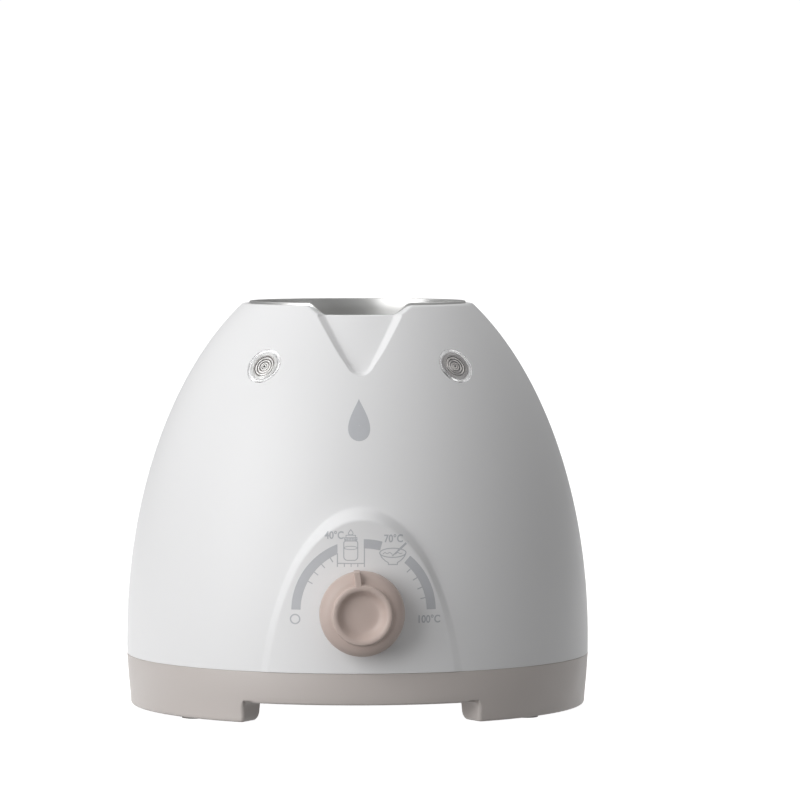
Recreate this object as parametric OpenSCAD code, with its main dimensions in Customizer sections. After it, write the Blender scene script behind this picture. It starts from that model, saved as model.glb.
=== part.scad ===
// Feeding bottle warmer: a domed housing around a heated well, with a dial in front and two lamps above it.
// Millimetres, +Z up, the front faces -Y. The origin lies on the dome's axis, on the surface it stands on.

/* [Dome] */
// Widest diameter of the dome
dome_d = 152.4; // [150:0.1:155]
// Level of the dome's widest circle
dome_mid_z = 22.8; // [22:0.1:24]
// Vertical half axis of the dome's elliptical section
dome_half_h = 126.3; // [125.5:0.1:127.5]
// Level of the rim around the well
rim_z = 132.4; // [132:0.1:133]
// Level of the seam between the dome and the base
seam_z = 17.1; // [16.6:0.1:17.4]
// Wall thickness of the plastic mouldings
wall = 2.4; // [2.2:0.1:2.6]

/* [Notch] */
// Half width of the V notch at the rim
notch_half_w = 12.8; // [12:0.1:13.6]
// Level of the notch's lowest point
notch_tip_z = 111.6; // [109:0.1:113]
// Radius of the notch's rounded lowest point
notch_tip_r = 2.1; // [1.6:0.1:2.6]
// Depth of the notch's floor below the dome
notch_depth = 2.5; // [2:0.1:3]
// Level of the rim inside the notch
notch_rim_z = 129.4; // [129:0.1:130]

/* [Dial] */
// Level of the dial's axis
dial_z = 36.6; // [36:0.1:38]
// Radius of the upright panel that carries the dial
panel_r = 76.5; // [76.4:0.1:77]
// Level of the panel's highest point
panel_top_z = 69.6; // [68:0.1:71]
// Radius of the panel's rounded top
panel_top_r = 15.7; // [14.5:0.1:17]
// Half width of the panel at the seam
panel_foot_half_w = 32.4; // [31:0.1:33.5]
// Diameter of the knob
knob_d = 27; // [25:0.5:29]
// Height of the knob
knob_h = 12; // [11:0.5:12.5]
// Angle of the pointer at rest, anticlockwise from the top
pointer_a = 7.2; // [0:0.1:20]

/* [Well] */
// Inner radius of the heated cup
cup_r = 34.9; // [34.5:0.1:35]
// Sheet thickness of the heated cup
cup_t = 0.8; // [0.7:0.1:0.8]
// Level of the cup's inner floor
cup_floor_z = 43.2; // [43:0.1:46]
// Height of the cup's lip above the rim
cup_lip_h = 0.8; // [0.5:0.1:1.2]

/* [Lamps] */
// Angle of each lamp from the front, seen from above
lamp_a = 35.6; // [33:0.1:38]
// Level of each lamp's lens
lamp_z = 113.3; // [112:0.1:114]

/* [Base] */
// Radius of the base at its feet
base_foot_r = 74.9; // [74.5:0.1:75.5]
// Level of the underside between the feet
base_floor_z = 6.9; // [6.6:0.1:7.6]
// Half angle of the gap between the feet, in front and behind
foot_gap_a = 30; // [28:1:33]
// Radial width of each foot
foot_w = 10.5; // [10:0.1:11]
// Radius of the circle of housing screws
screw_circle_r = 60; // [59.5:0.1:60.2]

/* [Hidden] */
$fn = 96;

// Dome, shared by the shell's outside, its inside and the notch's floor
dome_r = dome_d / 2;
dome_bands = 24;
curve_steps = 8;
past = 1;

// Well: the neck that the cup passes through, its clamped bead and the clamp ring below it
neck_gap = 0.2;
neck_r = cup_r + cup_t + neck_gap;
neck_outer_r = neck_r + 2.3;
neck_bottom_z = 118;
seal_h = 1.2;
bead_h = 1.2;
bead_r = neck_outer_r - 0.2;
bead_top_z = neck_bottom_z - seal_h;
ring_top_z = bead_top_z - bead_h;
ring_h = 2;
ring_outer_r = 40.5;
ring_ear_r = 43;
ring_screw_r = 1.2;
cup_corner_r = 5;
stud_r = 2;

// Base and its joint with the shell
foot_floor_z = 0.5;
floor_t = 2.2;
spigot_outer_r = dome_r - wall - 0.3;
spigot_t = 2.1;
spigot_h = 3;
boss_top_z = 15;
foot_inner_r = base_foot_r - foot_w;
pad_r = 4;
pad_h = 2;
pad_a = 40;
screw_r = 1.45;

// Thermostat, from its terminals forwards to the knob
bracket_y = -64.5;
bracket_t = 1.5;
thermostat_depth = 14;
bush_r = 4.4;
bush_y = -71;
shaft_r = 3;
shaft_inner_y = -60;
shaft_flat = 1.6;
running_gap = 0.05;
knob_back_y = -77.1;
post_x = 16;

// Lamps: their axes stand square to the dome
lamp_ring_r = dome_r * sqrt(1 - pow((lamp_z - dome_mid_z) / dome_half_h, 2));
lamp_tilt = atan2(lamp_ring_r / pow(dome_r, 2), (lamp_z - dome_mid_z) / pow(dome_half_h, 2));
lens_flange_r = 6.1;
lens_r = 4.9;
lens_back = -9;
holder_back = -13.4;

// Heater stack under the cup
cup_under_z = cup_floor_z - 1.2;
heater_h = 6;
heater_z = cup_under_z - heater_h;
clamp_t = 1.2;
clamp_z = heater_z - clamp_t;
nut_h = 3.2;
fuse_r = 2;
fuse_y = 14;
fuse_half_l = 5.5;
tab_x = 10;

// Terminal block and the cord's inlet
block_y = 33;
block_d = 14;
block_h = 10;
block_half_w = 15;
block_z = base_floor_z + floor_t;
pole_x = [-10.5, -3.5, 3.5, 10.5];
pole_z = block_z + 4.2;
gland_z = 13.3;
gland_r = 3.7;
cord_r = 2.7;

// Wires
wire_r = 1;
wire_steps = 4;
wire_sides = 8;

function dome_point(t, inset) = [(dome_r - inset) * cos(t), dome_mid_z + (dome_half_h - inset) * sin(t)];
function dome_angle(z, inset) = asin((z - dome_mid_z) / (dome_half_h - inset));

// Solid of revolution between two levels, with the dome's outline moved in by inset
module dome_solid(inset, z_low, z_high) {
    t_low = dome_angle(z_low, inset);
    t_step = (dome_angle(z_high, inset) - t_low) / dome_bands;
    outline = [for (i = [0 : dome_bands]) dome_point(t_low + t_step * i, inset)];
    rotate_extrude() polygon(concat([[0, z_low]], outline, [[0, z_high]]));
}

// Extrudes an XZ outline along Y, from y_front back to y_back
module along_y(y_front, y_back) {
    translate([0, y_back, 0]) rotate([90, 0, 0]) linear_extrude(y_back - y_front) children();
}

// Cylinder along Y, from y_front back to y_back
module rod_y(r, y_front, y_back, x, z) {
    translate([x, y_back, z]) rotate([90, 0, 0]) cylinder(r = r, h = y_back - y_front);
}

// Places children at a lens, with local +Z pointing straight out of the dome
module at_lamp(side) {
    rotate([0, 0, side * lamp_a])
        translate([0, -lamp_ring_r, lamp_z])
            rotate([lamp_tilt, 0, 0]) children();
}

// Places a copy of the children at each angle of a circle of radius r
module around(r, angles) {
    for (a = angles) rotate([0, 0, a]) translate([r, 0, 0]) children();
}

quarters = [45, 135, 225, 315];
thirds = [90, 210, 330];

// Half width, u along the axis from the tip, of a curve with that tip radius and that half width at reach
function curve_x(u, tip_r, half_w, reach) =
    sqrt(2 * tip_r * u + (half_w * half_w - 2 * tip_r * reach) * pow(u / reach, 2));

// Mirror-symmetric outline from a tip at tip_z; way is 1 when it opens upwards and -1 when it opens downwards
module curve_outline(tip_z, way, tip_r, half_w, reach, extra) {
    span = reach + extra;
    steps = [for (i = [-curve_steps : curve_steps]) i / curve_steps];
    polygon([for (t = steps)
        [sign(t) * curve_x(span * t * t, tip_r, half_w, reach), tip_z + way * span * t * t]]);
}

// V outline of the notch, grown by grow on each side
module notch_outline(grow) {
    tip_z = notch_tip_z - grow;
    curve_outline(tip_z, 1, notch_tip_r + grow, notch_half_w + grow, rim_z - tip_z, 3);
}

// Arched outline of the dial panel, moved in by inset
module panel_outline(inset) {
    tip_z = panel_top_z - inset;
    curve_outline(tip_z, -1, panel_top_r - inset, panel_foot_half_w - inset, tip_z - seam_z, past);
}

// Upright panel in front of the dome, moved in by inset, from the seam upwards
module panel_solid(inset, z_low) {
    intersection() {
        along_y(-90, -45) panel_outline(inset);
        translate([0, 0, z_low]) cylinder(r = panel_r - inset, h = 60);
    }
}

// Column for a housing screw, tied to the shell's wall by a rib
module screw_column() {
    translate([0, 0, boss_top_z + 0.1]) cylinder(r = 4, h = 30);
    translate([0, -1, spigot_h + seam_z + 0.9]) cube([14.2, 2, 24]);
}

module shell_hollow() {
    difference() {
        union() {
            dome_solid(wall, seam_z - past, rim_z - wall);
            panel_solid(wall, seam_z - past);
        }
        translate([0, 0, neck_bottom_z]) cylinder(r = neck_outer_r, h = 20);
        around(ring_ear_r, thirds) translate([0, 0, ring_top_z]) cylinder(r = 3, h = 14);
        around(screw_circle_r, quarters) screw_column();
        rod_y(3.2, -76, bracket_y - bracket_t, -post_x, dial_z);
        rod_y(3.2, -76, bracket_y - bracket_t, post_x, dial_z);
        difference() {
            along_y(-80, -30) notch_outline(wall);
            dome_solid(notch_depth + wall, seam_z, notch_rim_z);
        }
    }
}

module outer_shell() {
    color([0.93, 0.93, 0.94]) difference() {
        union() {
            dome_solid(0, seam_z, rim_z);
            panel_solid(0, seam_z);
        }
        shell_hollow();
        translate([0, 0, neck_bottom_z - 6]) cylinder(r = neck_r, h = 30);
        difference() {
            along_y(-80, -10) notch_outline(0);
            dome_solid(notch_depth, seam_z, notch_rim_z);
        }
        for (side = [-1, 1]) at_lamp(side) {
            translate([0, 0, -8]) cylinder(r = lens_r + 0.1, h = 20);
            translate([0, 0, -1.2]) cylinder(r = lens_flange_r + 0.1, h = 10);
        }
        rod_y(5, -90, -70, 0, dial_z);
        rod_y(1.15, -72.2, -60, -post_x, dial_z);
        rod_y(1.15, -72.2, -60, post_x, dial_z);
        around(screw_circle_r, quarters) translate([0, 0, 10]) cylinder(r = screw_r + 0.05, h = 19);
        around(ring_ear_r, thirds) translate([0, 0, 110]) cylinder(r = ring_screw_r + 0.05, h = 11.5);
    }
}

// Wedge between the feet, in front or behind, from the surface up to the underside
module foot_gap(side) {
    reach = 2 * dome_r;
    half_w = reach * tan(foot_gap_a);
    linear_extrude(base_floor_z) polygon([[0, 0], [half_w, side * reach], [-half_w, side * reach]]);
}

// Hollow inside one foot; side 0 is the foot on +X and 180 the foot on -X
module foot_pocket(side) {
    span = 176 - 2 * foot_gap_a;
    inner_r = foot_inner_r + 2;
    width = spigot_outer_r - spigot_t - 0.2 - inner_r;
    rotate([0, 0, side - span / 2]) rotate_extrude(angle = span)
        translate([inner_r, foot_floor_z + floor_t]) square([width, block_z - foot_floor_z]);
}

module base_housing() {
    spigot_top_z = seam_z + spigot_h;
    color([0.72, 0.66, 0.62]) difference() {
        union() {
            difference() {
                rotate_extrude() polygon([
                    [0, foot_floor_z], [base_foot_r, foot_floor_z], [dome_r, seam_z],
                    [spigot_outer_r, seam_z], [spigot_outer_r, spigot_top_z], [0, spigot_top_z]
                ]);
                translate([0, 0, block_z]) cylinder(r = spigot_outer_r - spigot_t, h = 20);
                cylinder(r = foot_inner_r, h = base_floor_z);
                foot_gap(-1);
                foot_gap(1);
                foot_pocket(0);
                foot_pocket(180);
            }
            around(screw_circle_r, quarters)
                translate([0, 0, base_floor_z + 0.1]) cylinder(r = 4.3, h = boss_top_z - base_floor_z - 0.1);
        }
        around(screw_circle_r, quarters) {
            cylinder(r = screw_r + 0.2, h = 20);
            translate([0, 0, base_floor_z - past]) cylinder(r = 3.5, h = 4.4);
        }
        for (a = [pad_a, 180 - pad_a, 180 + pad_a, -pad_a])
            around(foot_inner_r + foot_w / 2, [a]) cylinder(r = pad_r + 0.1, h = pad_h);
        for (x = [-20 : 10 : 20]) translate([x - 1.2, -18, 0]) cube([2.4, 36, 20]);
        rod_y(gland_r + 0.05, 65, 80, 0, gland_z);
        translate([-gland_r - 0.05, 65, gland_z]) cube([2 * gland_r + 0.1, 15, 10]);
    }
}

module rubber_feet() {
    color([0.35, 0.33, 0.32])
        for (a = [pad_a, 180 - pad_a, 180 + pad_a, -pad_a])
            around(foot_inner_r + foot_w / 2, [a]) cylinder(r = pad_r, h = pad_h);
}

// Cross-head screw that points upwards, its head's underside at z = 0
module screw_up(shank_r, shank_l, head_r, head_h) {
    difference() {
        union() {
            translate([0, 0, -head_h]) cylinder(r = shank_r, h = shank_l + head_h);
            translate([0, 0, -head_h]) cylinder(r = head_r, h = head_h);
        }
        for (a = [0, 90]) rotate([0, 0, a])
            translate([-head_r * 0.6, -head_r * 0.12, -head_h - past])
                cube([head_r * 1.2, head_r * 0.24, head_h * 0.6 + past]);
    }
}

module housing_screws() {
    color([0.75, 0.75, 0.77]) around(screw_circle_r, quarters)
        translate([0, 0, base_floor_z + 3.4]) screw_up(screw_r, 17, 2.9, 2.2);
}

module heating_cup() {
    outer_r = cup_r + cup_t;
    top_z = rim_z + cup_lip_h;
    inner_corner = [for (a = [0 : 15 : 90])
        [cup_r - cup_corner_r * (1 - sin(a)), cup_floor_z + cup_corner_r * (1 - cos(a))]];
    outer_corner = [for (a = [90 : -15 : 0])
        [outer_r - cup_corner_r * (1 - sin(a)), cup_under_z + cup_corner_r * (1 - cos(a))]];
    color([0.80, 0.80, 0.79]) {
        difference() {
            rotate_extrude() polygon(concat(
                [[0, cup_floor_z]], inner_corner, [[cup_r, top_z], [outer_r, top_z]],
                [[outer_r, bead_top_z], [bead_r, bead_top_z], [bead_r, ring_top_z], [outer_r, ring_top_z]],
                outer_corner, [[0, cup_under_z]]
            ));
            intersection() {
                along_y(-80, -10) notch_outline(0);
                translate([-50, -80, notch_rim_z - 0.2]) cube([100, 70, 20]);
            }
        }
        translate([0, 0, cup_under_z - 12]) cylinder(r = stud_r, h = 12.5);
    }
}

module cup_seal() {
    color([0.60, 0.60, 0.60]) translate([0, 0, bead_top_z]) difference() {
        cylinder(r = neck_outer_r, h = seal_h);
        translate([0, 0, -past]) cylinder(r = cup_r + cup_t + 0.02, h = seal_h + 2 * past);
    }
}

module cup_retaining_ring() {
    color([0.82, 0.82, 0.80]) translate([0, 0, ring_top_z - ring_h]) difference() {
        union() {
            cylinder(r = ring_outer_r, h = ring_h);
            around(ring_ear_r, thirds) cylinder(r = 4, h = ring_h);
        }
        translate([0, 0, -past]) cylinder(r = neck_r, h = ring_h + 2 * past);
        around(ring_ear_r, thirds) translate([0, 0, -past])
            cylinder(r = ring_screw_r + 0.2, h = ring_h + 2 * past);
    }
}

module ring_screws() {
    color([0.75, 0.75, 0.77]) around(ring_ear_r, thirds)
        translate([0, 0, ring_top_z - ring_h]) screw_up(ring_screw_r, 7.5, 2.4, 1.6);
}

module insulation_sleeve() {
    color([0.93, 0.91, 0.85]) translate([0, 0, cup_floor_z + 4]) difference() {
        cylinder(r = 39.6, h = 48);
        translate([0, 0, -past]) cylinder(r = cup_r + cup_t + 0.3, h = 50);
    }
}

module ptc_heater() {
    color([0.70, 0.71, 0.72]) {
        translate([0, 0, heater_z]) difference() {
            cylinder(r = 27, h = heater_h);
            translate([0, 0, -past]) cylinder(r = 5, h = heater_h + 2 * past);
            translate([0, 0, -past]) rotate_extrude() translate([23, 0]) square([1.5, 2]);
        }
        for (x = [-tab_x, tab_x]) translate([x - 3.1, 20, heater_z + 2.6]) cube([6.2, 13, 0.8]);
    }
}

module heater_clamp() {
    color([0.62, 0.63, 0.65]) translate([0, 0, clamp_z]) difference() {
        intersection() {
            cylinder(r = 21, h = clamp_t);
            translate([-30, -11, -past]) cube([60, 30, clamp_t + 2 * past]);
        }
        translate([0, 0, -past]) cylinder(r = stud_r + 0.2, h = clamp_t + 2 * past);
    }
}

module heater_nut() {
    color([0.78, 0.77, 0.72]) translate([0, 0, clamp_z - nut_h]) difference() {
        cylinder(r = 4, h = nut_h, $fn = 6);
        translate([0, 0, -past]) cylinder(r = stud_r + 0.03, h = nut_h + 2 * past);
    }
}

module fuse_rod(r, half_l) {
    translate([-half_l, fuse_y, clamp_z - fuse_r]) rotate([0, 90, 0]) cylinder(r = r, h = 2 * half_l);
}

module thermal_fuse() {
    color([0.85, 0.84, 0.80]) fuse_rod(fuse_r, fuse_half_l);
}

module fuse_clip() {
    color([0.72, 0.72, 0.74]) difference() {
        translate([-2.5, fuse_y - 3.2, clamp_z - 5]) cube([5, 6.4, 5]);
        fuse_rod(fuse_r + 0.03, 10);
        translate([-3, fuse_y - fuse_r, clamp_z - fuse_r]) cube([6, 2 * fuse_r, 3]);
    }
}

module thermostat_body() {
    color([0.88, 0.86, 0.80]) difference() {
        union() {
            translate([-12, bracket_y, dial_z - 12]) cube([24, thermostat_depth, 24]);
            rod_y(bush_r, bush_y, bracket_y + 1, 0, dial_z);
            for (x = [-6, 6])
                translate([x - 2.4, bracket_y + 13, dial_z - 8.5]) cube([4.8, 4, 0.8]);
        }
        rod_y(shaft_r + running_gap, bush_y - past, shaft_inner_y + 0.5, 0, dial_z);
        for (z = [-9, 7]) translate([-13, bracket_y + 4, dial_z + z]) cube([26, 6, 2]);
    }
}

module thermostat_bracket() {
    color([0.70, 0.71, 0.73]) difference() {
        union() {
            translate([-20, bracket_y - bracket_t, dial_z - 7]) cube([40, bracket_t, 14]);
            translate([-20, bracket_y - bracket_t, dial_z + 6]) cube([40, 5, bracket_t]);
        }
        rod_y(bush_r + 0.1, -80, -60, 0, dial_z);
        for (x = [-post_x, post_x]) rod_y(1.4, -80, -60, x, dial_z);
        translate([-12.1, bracket_y, dial_z - 12.1]) cube([24.2, 20, 24.2]);
    }
}

module thermostat_nut() {
    color([0.78, 0.77, 0.72]) difference() {
        translate([0, bracket_y - bracket_t, dial_z]) rotate([90, 0, 0])
            cylinder(r = 7, h = 3, $fn = 6);
        rod_y(bush_r + 0.03, -80, -60, 0, dial_z);
    }
}

module bracket_screws() {
    color([0.75, 0.75, 0.77]) for (x = [-post_x, post_x])
        translate([x, bracket_y, dial_z]) rotate([90, 0, 0]) screw_up(1.1, 7, 2.1, 1.4);
}

// Local frame of the knob: +Z points forwards, away from the panel, and +Y points up
module at_knob() {
    translate([0, knob_back_y, dial_z]) rotate([90, 0, 0]) children();
}

module thermostat_shaft() {
    tip = knob_h - 3;
    color([0.83, 0.82, 0.78]) at_knob() rotate([0, 0, pointer_a]) difference() {
        translate([0, 0, knob_back_y - shaft_inner_y]) cylinder(r = shaft_r, h = tip + shaft_inner_y - knob_back_y);
        translate([-5, shaft_flat, 0.6]) cube([10, 5, 20]);
    }
}

module knob() {
    r = knob_d / 2;
    color([0.64, 0.57, 0.53]) at_knob() rotate([0, 0, pointer_a]) {
        difference() {
            rotate_extrude() polygon([
                [0, 0.8], [5, 0.8], [5, 8.6], [7.6, 8.6], [11.9, 5.4], [11.9, 0],
                [r, 0], [r, 5.5], [13.2, 7.2], [12.2, 8.5], [9.9, 10], [9.6, 11.4], [9.1, knob_h],
                [7.5, knob_h], [5.9, 10.5], [4, 9.9], [0, 10]
            ]);
            difference() {
                translate([0, 0, -past]) cylinder(r = shaft_r + running_gap, h = knob_h - 1.8);
                translate([-5, shaft_flat + 0.5, -2]) cube([10, 5, 20]);
            }
        }
        translate([-1, 9.2, 3]) cube([2, r + 0.3 - 9.2, knob_h - 3.1]);
    }
}

module knob_clip() {
    color([0.72, 0.72, 0.74]) at_knob() rotate([0, 0, pointer_a])
        translate([-1.6, shaft_flat + 0.03, 1.5]) cube([3.2, 0.44, 7]);
}

module lens(side) {
    color([0.86, 0.84, 0.80]) at_lamp(side) difference() {
        union() {
            translate([0, 0, lens_back]) cylinder(r = lens_r, h = -lens_back);
            translate([0, 0, -1.1]) cylinder(r = lens_flange_r, h = 1.3);
        }
        translate([0, 0, lens_back - past]) cylinder(r = 2.6, h = 4.5 + past);
        rotate_extrude() translate([3.2, -0.6]) square([1.2, 2]);
    }
}

module lens_left() {
    lens(-1);
}

module lens_right() {
    lens(1);
}

module lamp(side) {
    color([0.95, 0.93, 0.86]) at_lamp(side) {
        translate([0, 0, -11.2]) cylinder(r = 2.5, h = 3.7);
        translate([0, 0, -7.5]) sphere(r = 2.5);
        translate([0, 0, -12.1]) cylinder(r = 2.9, h = 1);
    }
}

module lamp_left() {
    lamp(-1);
}

module lamp_right() {
    lamp(1);
}

module lamp_holder(side) {
    color([0.90, 0.90, 0.88]) at_lamp(side) difference() {
        translate([0, 0, holder_back]) cylinder(r = 6.6, h = 10.1);
        translate([0, 0, holder_back + 1.2]) cylinder(r = lens_r + running_gap, h = 12);
    }
}

module lamp_holder_left() {
    lamp_holder(-1);
}

module lamp_holder_right() {
    lamp_holder(1);
}

module terminal_block() {
    color([0.90, 0.89, 0.85]) difference() {
        translate([-block_half_w, block_y, block_z]) cube([2 * block_half_w, block_d, block_h]);
        for (x = pole_x) {
            rod_y(1.3, block_y + 9, block_y + 20, x, pole_z);
            translate([x, block_y + 5, block_z + 6]) cylinder(r = 2, h = 10);
        }
        for (x = [-7, 0, 7]) translate([x - 0.4, block_y - past, block_z + 7]) cube([0.8, 20, 10]);
    }
}

module terminal_screws() {
    color([0.78, 0.77, 0.72]) for (x = pole_x) translate([x, block_y + 5, block_z + 6]) difference() {
        cylinder(r = 1.9, h = 2.5);
        translate([-3, -0.3, 1.7]) cube([6, 0.6, 2]);
    }
}

module cord_gland() {
    color([0.80, 0.78, 0.76]) difference() {
        union() {
            rod_y(gland_r, 70, 77.5, 0, gland_z);
            translate([-gland_r, 70, gland_z]) cube([2 * gland_r, 6, seam_z - gland_z - 0.1]);
            translate([-5.5, 69, block_z + 0.1]) cube([11, 2, seam_z - block_z - 0.2]);
            rod_y(5.2, dome_r + 0.1, dome_r + 2.1, 0, gland_z);
        }
        rod_y(cord_r, 60, 90, 0, gland_z);
    }
}

// Smooth curve through hand-laid points, which meets each of them
function along(p, i, u) =
    let (a = p[max(i - 1, 0)], b = p[i], c = p[i + 1], d = p[min(i + 2, len(p) - 1)])
    0.5 * (2 * b + (c - a) * u + (2 * a - 5 * b + 4 * c - d) * u * u + (3 * b - a - 3 * c + d) * u * u * u);
function route(p) = concat(
    [for (i = [0 : len(p) - 2]) for (k = [0 : wire_steps - 1]) along(p, i, k / wire_steps)], [p[len(p) - 1]]);
function unit(v) = v / norm(v);
function heading(q, i) = unit(q[min(i + 1, len(q) - 1)] - q[max(i - 1, 0)]);
function ring_at(c, dir, ref, r) =
    let (u = unit(cross(dir, ref)), v = cross(dir, u))
    [for (k = [0 : wire_sides - 1]) c + r * (cos(360 * k / wire_sides) * u + sin(360 * k / wire_sides) * v)];

// Insulated wire along a route; ref is a direction that the route never takes
module wire(points, ref) {
    q = route(points);
    last = len(q) - 1;
    n = wire_sides;
    rings = [for (i = [0 : last]) ring_at(q[i], heading(q, i), ref, wire_r)];
    sides = [for (i = [0 : last - 1]) for (k = [0 : n - 1])
        let (a = i * n + k, b = i * n + (k + 1) % n) each [[a, b + n, b], [a, a + n, b + n]]];
    polyhedron(
        points = [for (one = rings) for (corner = one) corner],
        faces = concat([[for (k = [0 : n - 1]) k]], sides, [[for (k = [n - 1 : -1 : 0]) last * n + k]])
    );
}

wire_gap = 0.25;
tab_under_z = heater_z + 2.6 - wire_gap;
fuse_z = clamp_z - fuse_r;
fuse_end_x = fuse_half_l + 2 * wire_gap;
wire_end_y = block_y - wire_gap;
thermostat_back_y = bracket_y + thermostat_depth;
supply_route = [
    [-tab_x, 31, tab_under_z], [-tab_x, 31.5, 33], [-10.5, 28, 26], [-10.5, 25.5, 19],
    [-10.5, 28, pole_z + 0.5], [-10.5, wire_end_y, pole_z]
];
fuse_route = [
    [tab_x, 31, tab_under_z], [tab_x, 31.5, 33], [10.8, 27, 29], [10.5, 20, 30],
    [8.5, 14.8, fuse_z], [fuse_end_x, fuse_y, fuse_z]
];
return_route = [
    [-fuse_end_x, fuse_y, fuse_z], [-8.5, 15, 31.5], [-7.5, 19, 26], [-4.5, 24, 18],
    [-3.5, 28, pole_z + 0.5], [-3.5, wire_end_y, pole_z]
];
thermostat_in_route = [
    [-6, thermostat_back_y + 3.2, dial_z - 8.6], [-6, -46, 26], [-5, -38, 19], [0, -15, 14],
    [2, 10, 13], [3.5, 28, pole_z], [3.5, wire_end_y, pole_z]
];
thermostat_out_route = [
    [6, thermostat_back_y + 3.2, dial_z - 8.6], [6.5, -46, 26], [9, -38, 19], [12, -15, 14],
    [12, 10, 13], [10.5, 28, pole_z], [10.5, wire_end_y, pole_z]
];
lamp_route = [
    [24, 33.5, 105.9], [22.8, 31.8, 104.6], [26, 30, 100], [34, 28, 93], [44, 20, 80], [50, 0, 60],
    [44, -22, 36], [27, -37, 20], [20, -40, 15.5], [block_half_w + wire_gap, -40, 15.5]
];

module wire_heater_supply() {
    color([0.80, 0.20, 0.16]) wire(supply_route, [1, 0, 0]);
}

module wire_heater_fuse() {
    color([0.93, 0.93, 0.93]) wire(fuse_route, [1, 1, 0]);
}

module wire_fuse_return() {
    color([0.93, 0.93, 0.93]) wire(return_route, [1, 1, 0]);
}

module wire_thermostat_in() {
    color([0.80, 0.20, 0.16]) wire(thermostat_in_route, [1, 0, 0]);
}

module wire_thermostat_out() {
    color([0.15, 0.15, 0.16]) wire(thermostat_out_route, [1, 0, 0]);
}

// Lamp lead from a holder down the inside of the dome to the end of the terminal block
module lamp_wire(side) {
    color([0.25, 0.35, 0.60]) wire([for (p = lamp_route) [side * p[0], -p[1], p[2]]], [0, 0, 1]);
}

module wire_lamp_left() {
    lamp_wire(-1);
}

module wire_lamp_right() {
    lamp_wire(1);
}

outer_shell();
base_housing();
rubber_feet();
housing_screws();
heating_cup();
cup_seal();
cup_retaining_ring();
ring_screws();
insulation_sleeve();
ptc_heater();
heater_clamp();
heater_nut();
thermal_fuse();
fuse_clip();
thermostat_body();
thermostat_bracket();
thermostat_nut();
bracket_screws();
thermostat_shaft();
knob();
knob_clip();
lens_left();
lens_right();
lamp_left();
lamp_right();
lamp_holder_left();
lamp_holder_right();
terminal_block();
terminal_screws();
cord_gland();
wire_heater_supply();
wire_heater_fuse();
wire_fuse_return();
wire_thermostat_in();
wire_thermostat_out();
wire_lamp_left();
wire_lamp_right();
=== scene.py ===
# Bottle warmer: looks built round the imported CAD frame. Lengths in the helpers are millimetres.
import math

import bmesh
import bpy
import numpy as np
from mathutils import Matrix, Vector


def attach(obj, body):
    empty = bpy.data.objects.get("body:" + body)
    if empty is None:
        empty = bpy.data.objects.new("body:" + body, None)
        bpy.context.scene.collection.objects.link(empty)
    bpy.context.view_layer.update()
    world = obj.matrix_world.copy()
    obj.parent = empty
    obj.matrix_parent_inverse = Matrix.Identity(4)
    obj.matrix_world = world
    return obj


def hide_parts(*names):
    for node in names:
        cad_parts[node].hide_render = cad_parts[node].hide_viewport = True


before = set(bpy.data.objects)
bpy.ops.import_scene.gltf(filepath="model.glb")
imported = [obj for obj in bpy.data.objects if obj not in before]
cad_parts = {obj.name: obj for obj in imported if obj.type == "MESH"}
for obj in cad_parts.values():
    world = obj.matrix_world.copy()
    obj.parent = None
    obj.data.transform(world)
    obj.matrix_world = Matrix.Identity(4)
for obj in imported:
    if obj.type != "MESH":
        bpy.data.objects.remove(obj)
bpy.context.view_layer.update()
MM = 0.001
TAU = 2 * math.pi

# ---------------------------------------------------------------- dimensions shared with the CAD
DOME_R, DOME_MID, DOME_HALF = 76.2, 22.8, 126.3
RIM_Z, SEAM_Z, WALL = 132.4, 17.1, 2.4
NECK_R, NECK_OUT, NECK_Z = 35.9, 38.2, 118.0
NOTCH_RIM, NOTCH_TIP, NOTCH_R, NOTCH_LEAN, NOTCH_DEPTH = 129.4, 111.5, 3.4, math.radians(29.2), 2.5
PANEL_R, PANEL_TOP = 76.5, 69.6
DIAL_Z, KNOB_Y, KNOB_R, POINTER = 36.6, -77.1, 13.5, math.radians(7.2)
LAMP_A, LAMP_Z = math.radians(35.6), 113.3
FOOT_Z, FLOOR_UNDER, FLOOR_TOP = 0.5, 6.9, 9.1
SPIGOT_OUT, SPIGOT_IN, SPIGOT_TOP = 73.5, 71.4, 20.1
SCREW_CIRCLE, SCREW_TURNS = 60, (45, 135, 225, 315)
CUP_IN, CUP_OUT, CUP_CORNER, CUP_FLOOR, CUP_UNDER = 34.9, 35.7, 5, 43.2, 42.0
BEAD_OUT, BEAD_TOP, BEAD_UNDER = 38.0, 116.8, 115.6
PAD_CIRCLE, PAD_TURNS = 69.65, (40, 140, 220, 320)
GLAND_Z = 13.3


def smooth(t):
    """Soft step from 0 to 1."""
    t = np.clip(t, 0.0, 1.0)
    return t * t * (3 - 2 * t)


def dome_r(z, inset=0.0):
    """Radius of the half ellipsoid at level z, moved in by inset."""
    q = (np.asarray(z, float) - DOME_MID) / (DOME_HALF - inset)
    return (DOME_R - inset) * np.sqrt(np.maximum(1 - q * q, 1e-6))


def bevel(t, start=0.25, end=0.25):
    """Straight ramp from 0 to 1 with rounded ends; start and end are the shares of its length they take."""
    t = np.clip(t, 0.0, 1.0)
    slope = 1 / (1 - start / 2 - end / 2)
    low = slope * t * t / (2 * start)
    high = 1 - slope * (1 - t) ** 2 / (2 * end)
    return np.where(t < start, low, np.where(t > 1 - end, high, slope * (t - start / 2)))


def notch_f(x, z):
    """Distance outwards from the outline of the notch's floor: straight legs and a round tip."""
    x = np.abs(x)
    dz = z - NOTCH_TIP - NOTCH_R
    leg = x * math.cos(NOTCH_LEAN) - dz * math.sin(NOTCH_LEAN)
    return np.where(np.arctan2(dz, x) < -NOTCH_LEAN, np.hypot(x, dz), leg) - NOTCH_R


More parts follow.
